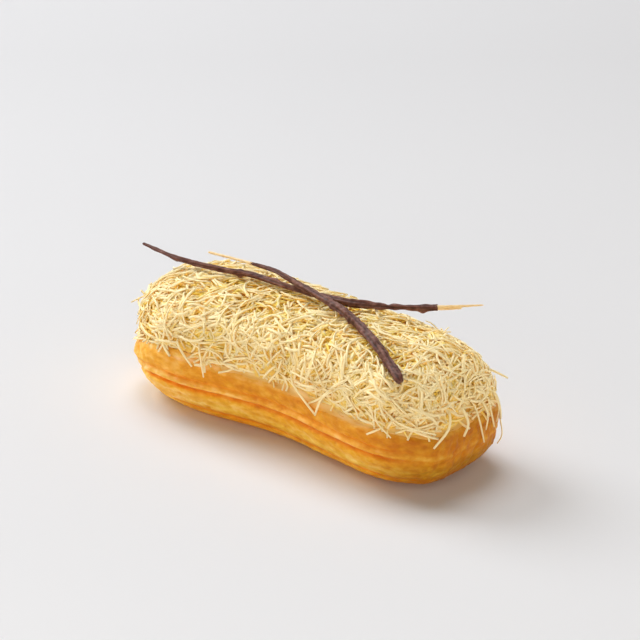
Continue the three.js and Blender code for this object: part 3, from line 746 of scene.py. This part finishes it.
def centripetal(points, count):
    pts = np.array(points, dtype=float)
    pts = np.concatenate([[2 * pts[0] - pts[1]], pts, [2 * pts[-1] - pts[-2]]])
    fine = []
    for i in range(len(pts) - 3):
        p0, p1, p2, p3 = pts[i : i + 4]
        t01, t12, t23 = (np.linalg.norm(b - a) ** 0.5 for a, b in ((p0, p1), (p1, p2), (p2, p3)))
        m1 = (p1 - p0) / t01 - (p2 - p0) / (t01 + t12) + (p2 - p1) / t12
        m2 = (p2 - p1) / t12 - (p3 - p1) / (t12 + t23) + (p3 - p2) / t23
        m1, m2 = m1 * t12, m2 * t12
        for t in np.linspace(0, 1, SPAN_STEPS, endpoint=False):
            fine.append(
                (2 * t**3 - 3 * t**2 + 1) * p1 + (t**3 - 2 * t**2 + t) * m1
                + (-2 * t**3 + 3 * t**2) * p2 + (t**3 - t**2) * m2
            )
    fine.append(pts[-2])
    fine = np.array(fine)
    reach = np.concatenate([[0], np.cumsum(np.linalg.norm(np.diff(fine, axis=0), axis=1))])
    at = np.linspace(0, reach[-1], count)
    return interpolate(at, reach, fine)


def stretch(points, start, end, count):
    """Evenly spaced points of the part of a curve between two shares of its length."""
    curve = centripetal(points, CURVE_STEPS)
    at = np.linspace(start, end, count) * (CURVE_STEPS - 1)
    return interpolate(at, np.arange(CURVE_STEPS), curve)


def square_to(line, v):
    return unit(v - line * np.sum(v * line, -1, keepdims=True))


def cross_directions(path, up_hint):
    """Side and up directions across paths (n x p x 3), kept close to up_hint."""
    ahead = unit(np.gradient(path, axis=-2))
    up = square_to(ahead, up_hint)
    return np.cross(ahead, up), up


# Twigs
def rod(path, sides, radius_at):
    """A closed rod, as thick as radius_at(share, outward, angle). Returns vertices, faces and radii."""
    count = len(path)
    side, up = cross_directions(path[None], np.array([0.0, 0.0, 1.0]))
    angle = np.arange(sides) * 2 * np.pi / sides
    outward = side[0][:, None] * np.cos(angle)[:, None] + up[0][:, None] * np.sin(angle)[:, None]
    share, turn = np.meshgrid(np.linspace(0, 1, count), angle, indexing="ij")
    r = radius_at(share, outward, turn)
    ring = path[:, None] + outward * r[..., None]
    vertices = ring.reshape(-1, 3)
    faces = ring_faces(count, sides)
    first, last = len(vertices), len(vertices) + 1
    vertices = np.concatenate([vertices, [path[0]], [path[-1]]])
    for j in range(sides):
        k = (j + 1) % sides
        faces.append([first, k, j])
        faces.append([last, (count - 1) * sides + j, (count - 1) * sides + k])
    return vertices, faces, r


def lumped(radius, tip, taper, lumps, seed, swell=1.0):
    """A twig's radius along and round it: grooved, with lumps, and thinner toward its start."""
    rng = np.random.default_rng(seed)
    phase = rng.uniform(0, 2 * np.pi, len(TWIG_RIPPLES))

    def radius_at(share, outward, angle):
        size = tip + (radius - tip) * clamp01(share / taper) ** swell
        for at, width, height, side in lumps:
            facing = LUMP_ROUND + (1 - LUMP_ROUND) * np.maximum(0, outward @ np.array(side))
            size = size + height * facing * np.exp(-(((share - at) / width) ** 2))
        ripple = 0
        for (height, along, round_it), start in zip(TWIG_RIPPLES, phase):
            ripple = ripple + height * np.sin(along * share + round_it * angle + start)
        return size * (1 + ripple)

    return radius_at


def rounded_ends(radius_at, start, end):
    """The same radius, rounded off over a share of the length at each end."""

    def made(share, outward, angle):
        near = clamp01(share / start) if start else 1.0
        far = clamp01((1 - share) / end) if end else 1.0
        cap = np.sqrt(clamp01(1 - (1 - near) ** 2)) * np.sqrt(clamp01(1 - (1 - far) ** 2))
        return radius_at(share, outward, angle) * np.maximum(cap, 0.02)

    return made


def twig(name, path, radius_at, cad_node, mat):
    vertices, faces, r = rod(path, TWIG_SIDES, radius_at)
    obj = new_object(name, vertices, faces, mat)
    smooth = (np.roll(r, 3, 1) + np.roll(r, -3, 1) + np.roll(r, 6, 1) + np.roll(r, -6, 1)) / 4
    # painted shade in the grooves and painted highlight on the ridges
    painted_groove_shade = np.clip(DIP_BASE + DIP_GAIN * (r - smooth), DIP_DARKEST, 1.0)
    paint(obj, "grooves", np.concatenate([painted_groove_shade.ravel(), [1, 1]])[:, None])
    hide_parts(cad_node)
    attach(obj, "root")


def straws(name, parts, mat, cad_node):
    obj = new_object(name, *joined(parts), mat)
    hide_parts(cad_node)
    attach(obj, "root")


def strand_rod(path, start, end, seed):
    def radius_at(share, outward, angle):
        size = start + (end - start) * share**2
        return size * (1 + 0.08 * np.sin(5 * angle + seed) + 0.05 * np.sin(31 * share + 2 * angle + seed))

    v, f, _ = rod(path, STRAND_SIDES, rounded_ends(radius_at, 0, 0.05))
    return v, f


def twigs():
    chocolate = chocolate_material()
    straw = strand_material()
    radius_at = rounded_ends(lumped(LONG_TWIG_RADIUS, LONG_TIP, LONG_TAPER, LONG_LUMPS, 5), 0.004, 0.003)
    path = stretch(LONG_TWIG, 0, LONG_COAT_SHARE, LONG_COAT_POINTS)
    twig("long_twig_coat", path, radius_at, "long_twig", chocolate)
    bumpy = lumped(ARCHED_TWIG_RADIUS, ARCHED_TIP, ARCHED_TAPER, ARCHED_LUMPS, 9, ARCHED_SWELL)
    path = stretch(ARCHED_TWIG, ARCHED_COAT_START, 1, ARCHED_COAT_POINTS)
    twig("arched_twig_coat", path, rounded_ends(bumpy, 0.0, 0.03), "arched_twig", chocolate)
    start = LONG_COAT_SHARE - STRAND_INSERT
    upper = stretch(LONG_TWIG, start, 1, STRAW_POINTS) + [0, 0, STRAND_LIFT]
    lower = stretch(LONG_TWIG, start, SHORT_STRAND_END, SHORT_STRAW_POINTS) - [0, 0, STRAND_LIFT]
    upper_rod = strand_rod(upper, STRAND_RADIUS, UPPER_STRAND_TIP, 1)
    lower_rod = strand_rod(lower, STRAND_RADIUS, LOWER_STRAND_TIP, 2)
    straws("long_twig_straws", [upper_rod, lower_rod], straw, "long_twig_strands")
    bare = stretch(ARCHED_TWIG, ARCHED_COAT_START + STRAND_INSERT, 0, STRAW_POINTS)
    bare_rod = strand_rod(bare, ARCHED_STRAND, ARCHED_STRAND_TIP, 3)
    straws("arched_twig_straw", [bare_rod], straw, "arched_twig_strand")


# Shreds
LONG_SAMPLES, ARCHED_SAMPLES, SAMPLES_AT_ONCE, START_PLACES = 260, 240, 50, 2000


def twig_points():
    """Points along both twigs, and how far from each the twig reaches."""
    thick = [0.5, 1.05, ARCHED_TWIG_RADIUS + TWIG_ROOM]
    arched_reach = np.interp(np.linspace(0, 1, ARCHED_SAMPLES), [0.1, 0.4, 0.85], thick)
    long_reach = np.full(LONG_SAMPLES, LONG_TWIG_RADIUS + TWIG_ROOM)
    centres = [centripetal(LONG_TWIG, LONG_SAMPLES), centripetal(ARCHED_TWIG, ARCHED_SAMPLES)]
    return np.concatenate(centres), np.concatenate([long_reach, arched_reach])


def clear_of_twigs(paths, half_width):
    centres, reach = twig_points()
    ok = np.ones(len(paths), bool)
    for start in range(0, len(centres), SAMPLES_AT_ONCE):
        part = slice(start, start + SAMPLES_AT_ONCE)
        far = np.linalg.norm(paths[:, :, None] - centres[None, None, part], axis=-1) - reach[None, None, part]
        ok &= far.min(axis=(1, 2)) > half_width
    return ok


def under_twigs(paths, normals, half_width):
    """Shreds that a twig lies on are pressed down under it; those still in its way are left out."""
    for _ in range(PRESS_TIMES):
        pressed = ~clear_of_twigs(paths, half_width)
        paths[pressed] -= PRESS_STEP * normals[pressed]
    ok = clear_of_twigs(paths, half_width)
    return paths[ok], normals[ok]


def twig_weights():
    """Places along the twigs that lie on the heap, and how deep they press into its even dome."""
    centres, reach = twig_points()
    centres, reach = centres[::6], reach[::6]
    above, _ = dome_distance(centres)
    depth = reach + PRESS_GAP - above
    return centres[depth > 0], depth[depth > 0]


def heap_relief(p):
    """How far the heap stands above its even dome: tufts, swells and the twigs' weight."""
    relief = wavy(p, TUFTS)
    for x, y, z, height, reach in HEAP_SWELLS:
        far = np.sum((p - (x, y, z)) ** 2, -1)
        relief = relief + height * np.exp(-far / reach**2)
    pressed = np.zeros(p.shape[:-1])
    for centre, depth in zip(*twig_weights()):
        far = np.sum((p - centre) ** 2, -1)
        pressed = np.maximum(pressed, (depth + 0.5 * relief) * np.exp(-far / PRESS_REACH**2))
    return relief - pressed


def shred_middles(rng, count):
    """Middles of shreds over the dome, and the height of the heap's edge below each."""
    c, s = plan_directions(START_PLACES)
    pick = rng.integers(0, START_PLACES, count)
    # the rings round the heap get shorter toward its spine, but not down to nothing
    spread = rng.uniform(0, 1, count)
    spread = np.where(rng.uniform(size=count) < SPINE_SHARE, spread, np.sqrt(spread)) * SPINE_LIMIT
    top = (1 - spread**DOME_POWER) ** (1 / DOME_POWER)
    on_side = rng.uniform(size=count) < SIDE_START_SHARE
    height = np.where(on_side, rng.uniform(LOWEST_START, HIGHEST_SIDE, count), top)
    edge = mat_edge(c[pick], s[pick])
    height = np.maximum(height, edge / DOME_HEIGHT + LOWEST_START)
    return dome_point(c[pick], s[pick], height, 0.0), edge


def walk(p, normal, ahead, step, bend, count):
    """count more points over the dome, step apart, turning by bend at each."""
    places, normals = [], []
    for _ in range(count):
        p, normal = onto_dome(p + ahead * step[:, None], 0.0, 1)
        ahead = square_to(normal, ahead)
        ahead = ahead * np.cos(bend)[:, None] + np.cross(normal, ahead) * np.sin(bend)[:, None]
        places.append(p)
        normals.append(normal)
    return places, normals


def over_rim(paths):
    x, y, z = np.moveaxis(paths, -1, 0)
    level = z + sag(x, z) - lip_lift(x)
    wanted = RIM_CURVE * np.maximum(0, level - RIM_START) ** 2 - RIM_CLEARANCE
    here = inset_at(x, y, 1.0)
    push = np.where(level < SHELL_HEIGHT + 0.2, np.maximum(0, here - wanted), 0.0)
    flat = np.stack([np.sign(x) * np.maximum(0, np.abs(x) - RIM_SPINE_HALF), y - bow(x), 0 * z], -1)
    return paths + unit(flat) * push[..., None]


def shred_paths(rng, count, points, level, tilt, ceiling, length, over, follow):
    """Curved lines that lie on the heap, part of the way between following it and running straight."""
    middle, edge = shred_middles(rng, count)
    middle, normal = onto_dome(middle, 0.0, 2)
    lean = rng.choice([-1, 1], count) * (0.2 + 1.3 * ease(-middle[:, 0], -20, 60))
    ahead = rng.normal(size=(count, 3)) * [1, 1, 0.7] + lean[:, None] * SHRED_LAY
    ahead = square_to(normal, ahead)
    step = rng.uniform(*length, count) / (points - 1)
    bend = rng.normal(0, SHRED_BEND, count) / (points - 1)
    snake = np.where(rng.uniform(size=count) < SNAKE_SHARE, -1.0, 1.0)
    before, after = points // 2, points - 1 - points // 2
    back_p, back_n = walk(middle, normal, -ahead, step, -bend * snake, before)
    front_p, front_n = walk(middle, normal, ahead, step, bend, after)
    paths = np.stack(back_p[::-1] + [middle] + front_p, 1)
    normals = np.stack(back_n[::-1] + [normal] + front_n, 1)
    along = (np.arange(points) - before)[None] * step[:, None]
    bow_out = np.where(along < 0, snake[:, None], 1.0) * (bend / step)[:, None] * along**2 / 2
    straight = middle[:, None] + ahead[:, None] * along[..., None]
    straight = straight + np.cross(normal, ahead)[:, None] * bow_out[..., None]
    stiff = rng.uniform(*STIFFNESS, count)[:, None, None]
    paths = paths * (1 - stiff) + straight * stiff
    relief = (1 - follow) * heap_relief(middle)[:, None] + follow * heap_relief(paths)
    rise = rng.uniform(*level, count)[:, None] + rng.normal(*tilt, count)[:, None] * along
    ripple = rng.normal(0, SHRED_RIPPLE, count)[:, None]
    rise = rise + ripple * np.cos(along * rng.uniform(0.4, 0.9, count)[:, None])
    paths = paths + normals * (rise + relief)[..., None]
    above, out = dome_distance(paths)
    highest = rng.uniform(0, 1, count)[:, None] ** 2 * ceiling + relief
    kept = np.clip(above, DEEPEST, highest)
    paths = paths + out * (kept - above)[..., None]
    floor = DOME_BASE - sag(paths[..., 0], SHELL_HEIGHT)
    # more shreds hang over the rim at the right end, most at its far corner, and fewer at the left end
    x, y = middle[:, 0], middle[:, 1]
    reach = 1 + 0.9 * ease(x, 36, 54) - 0.8 * ease(-x, 44, 58) + 1.6 * ease(x, 48, 60) * ease(y, 0, 12)
    hang = over * reach * (rng.uniform(-0.2, 1.6, count) + 1.8 * (rng.uniform(size=count) < 0.25))
    ok = (paths[..., 2] > floor + (edge - hang)[:, None]).all(1)
    return over_rim(paths[ok]), normals[ok]


def shred_tubes(rng, paths, normals, width, sides):
    """Closed tubes along the lines, wider than thick, tapered a little at both ends."""
    n, points = paths.shape[:2]
    side, up = cross_directions(paths, normals)
    corner = 1.25 if sides < 5 else 1.0
    half = (rng.uniform(0.8, 1.2, n) * width / 2 * corner)[:, None]
    share = np.linspace(0, 1, points)[None]
    taper = THINNEST_END + (1 - THINNEST_END) * np.sin(np.pi * np.clip(share * 0.86 + 0.07, 0, 1)) ** 0.5
    thick = np.stack([half * taper, FLATNESS * half * taper], -1)
    roll = rng.uniform(-ROLL, ROLL, n)[:, None, None]
    side, up = side * np.cos(roll) + up * np.sin(roll), up * np.cos(roll) - side * np.sin(roll)
    return tubes(paths, side, up, thick, sides)


def shred_painted_shade(rng, paths, vertices):
    """The colour round each shred, deeper yellow where it lies deeper in the heap, in its valleys and on its
    underside: painted shade.
    """
    above, out = dome_distance(paths)
    offset = vertices.reshape(*paths.shape[:2], -1, 3) - paths[:, :, None]
    lift = np.sum(offset * out[:, :, None], -1)
    # painted shade: deep in the heap, in the valleys of its tufts and on each shred's underside the colour
    # goes toward the deeper yellow
    depth = heap_relief(paths) - above - VALLEY_SHADE_SHARE * wavy(paths, TUFTS)
    depth = depth[..., None] - UNDERSIDE_SHADE_SHARE * lift + rng.normal(0, 0.2, (len(paths), 1, 1))
    share = np.clip((depth - SHADE_FROM) / SHADE_OVER, 0, SHADE_MOST)[..., None]
    return ((1 - share) * SHRED_LIGHT + share * SHRED_SHADED).reshape(-1, 3)


def beside_shell(p):
    """A point moved straight toward or away from the spine to stand just off the shell."""
    x, y, z = p
    spine = np.array([np.clip(x, -SPINE_HALF, SPINE_HALF), 0.0])
    q = np.array([x, y], dtype=float)
    out = (q - spine) / np.linalg.norm(q - spine)
    for _ in range(8):
        q = q + out * (float(inset_at(q[0], q[1], 1.0)) + SIDE_CLEARANCE)
    return np.array([q[0], q[1], z])


def single_shreds():
    far = [[(-x, -y, z) for x, y, z in row] for row in HANGING_SHREDS[:REPEATED_FAR]]
    paths = []
    for held, beside, end in HANGING_SHREDS + far:
        point, normal = onto_dome(np.array([held], dtype=float), 0.0, 4)
        root = point[0] + normal[0] * (MAT_OUT - 0.3)
        top = point[0] + normal[0] * 0.3
        a, b = beside_shell(beside), beside_shell(end)
        paths.append(centripetal([root, top + (a - top) * 0.35, a, b], HANGING_POINTS))
    paths.append(centripetal(LOOPED_SHRED, HANGING_POINTS))
    for foot, tip in np.array(STRAY_SHREDS, dtype=float):
        bent = (foot + tip) / 2 + [0, 0, STRAY_RISE]
        paths.append(centripetal([foot - (tip - foot) * 0.5, bent, tip], HANGING_POINTS))
    return np.array(paths)


def shreds():
    rng = np.random.default_rng(77)
    parts, tones = [], []
    for count, points, sides, level, tilt, ceiling, length, width, over, follow in SHRED_KINDS:
        paths, normals = shred_paths(rng, count, points, level, tilt, ceiling, length, over, follow)
        paths, normals = under_twigs(paths, normals, width / 2)
        vertices, faces = shred_tubes(rng, paths, normals, width, sides)
        parts.append((vertices, faces))
        tones.append(shred_painted_shade(rng, paths, vertices))
    paths = single_shreds()
    out = np.stack([paths[..., 0] * 0.3, paths[..., 1], 0 * paths[..., 2]], -1)
    vertices, faces = shred_tubes(rng, paths, unit(out), HANGING_WIDTH, HANGING_SIDES)
    parts.append((vertices, faces))
    tones.append(np.tile(SHRED_LIGHT, (len(vertices), 1)))
    vertices, faces = joined(parts)
    obj = new_object("shreds", vertices, faces, shred_material())
    paint(obj, "tone_and_shade", np.concatenate(tones))
    core = mat_core()
    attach(obj, "root")
    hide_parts("shred_heap")
    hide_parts("shred_heap")


# Surroundings
def camera():
    level = math.cos(ELEVATION)
    back = Vector((math.sin(AZIMUTH) * level, -math.cos(AZIMUTH) * level, math.sin(ELEVATION)))
    right = Vector((math.cos(AZIMUTH), math.sin(AZIMUTH), 0))
    up = back.cross(right)
    distance = FOCAL_PIXELS / SCALE_PIXELS
    place = Vector((0, 0, AIM_HEIGHT)) + back * distance
    place -= right * ((CENTRE[0] - PICTURE / 2) / SCALE_PIXELS)
    place += up * ((CENTRE[1] - PICTURE / 2) / SCALE_PIXELS)
    data = bpy.data.cameras.new("camera")
    data.lens = FOCAL_PIXELS * SENSOR / PICTURE
    data.sensor_width = SENSOR
    data.clip_end = FURTHEST_SEEN
    obj = bpy.data.objects.new("camera", data)
    turned = Matrix((right, up, back)).transposed().to_4x4()
    obj.matrix_world = Matrix.Translation(place * MM) @ turned
    scene.collection.objects.link(obj)
    scene.camera = obj


def area_light(name, where, size, power, colour):
    data = bpy.data.lights.new(name, "AREA")
    data.shape = "DISK"
    data.size = size
    data.energy = power
    data.color = colour
    obj = bpy.data.objects.new(name, data)
    obj.location = where
    obj.rotation_euler = (Vector(LIGHT_TARGET) - where).to_track_quat("-Z", "Y").to_euler()
    scene.collection.objects.link(obj)


def pale_floor():
    n = FLOOR_CELLS + 1
    xs = np.linspace(-FLOOR_HALF, FLOOR_HALF, n) / MM
    vertices = [(x, y, 0) for x in xs for y in xs]
    corners = [i * n + j for i in range(n - 1) for j in range(n - 1)]
    faces = [[at, at + n, at + n + 1, at + 1] for at in corners]
    mat, tree, bsdf = material("pale_floor", Roughness=0.8, Specular_IOR_Level=0.05)
    low, high = srgb(*[FLOOR_GREY - 1] * 3), srgb(*[FLOOR_GREY + 1] * 3)
    grain = ramp(tree, noise(tree, 3, 2), [(0.3, low), (0.7, high)])
    where = node(tree, "ShaderNodeTexCoord")
    along = node(tree, "ShaderNodeVectorMath", operation="DOT_PRODUCT")
    along.inputs[1].default_value = FLOOR_WAY
    tree.links.new(where.outputs["Object"], along.inputs[0])
    shade = node(tree, "ShaderNodeMapRange")
    set_inputs(shade, **FLOOR_SHADE)
    tree.links.new(along.outputs["Value"], shade.inputs["Value"])
    colour = multiply(tree, 1.0, grain, shade.outputs["Result"])
    tree.links.new(colour, bsdf.inputs["Base Color"])
    floor = new_object("floor", vertices, faces, mat)


def studio():
    world = bpy.data.worlds.new("studio")
    world.use_nodes = True
    tree = world.node_tree
    background = tree.nodes["Background"]
    where = node(tree, "ShaderNodeTexCoord")
    height = node(tree, "ShaderNodeSeparateXYZ")
    tree.links.new(where.outputs["Generated"], height.inputs["Vector"])
    low = SKY_POWER / HORIZON_POWER
    stops = [(0.0, HORIZON_COLOUR), (HORIZON_TOP, HORIZON_COLOUR), (SKY_FROM, (low, low, low))]
    sky = ramp(tree, height.outputs["Z"], stops)
    tree.links.new(sky, background.inputs["Color"])
    background.inputs["Strength"].default_value = HORIZON_POWER
    scene.world = world
    for name, azimuth, elevation, size, power, colour in LIGHTS:
        turn, rise = math.radians(azimuth), math.radians(elevation)
        place = Vector((math.cos(turn) * math.cos(rise), math.sin(turn) * math.cos(rise), math.sin(rise)))
        area_light(name, place * LIGHT_DISTANCE, size, power, colour)
    scene.cycles.max_bounces = LIGHT_BOUNCES
    scene.cycles.diffuse_bounces = LIGHT_BOUNCES
    scene.view_settings.view_transform = "Standard"
    scene.view_settings.look = "None"


camera()
pale_floor()
studio()
shell()
cream()
shreds()
twigs()
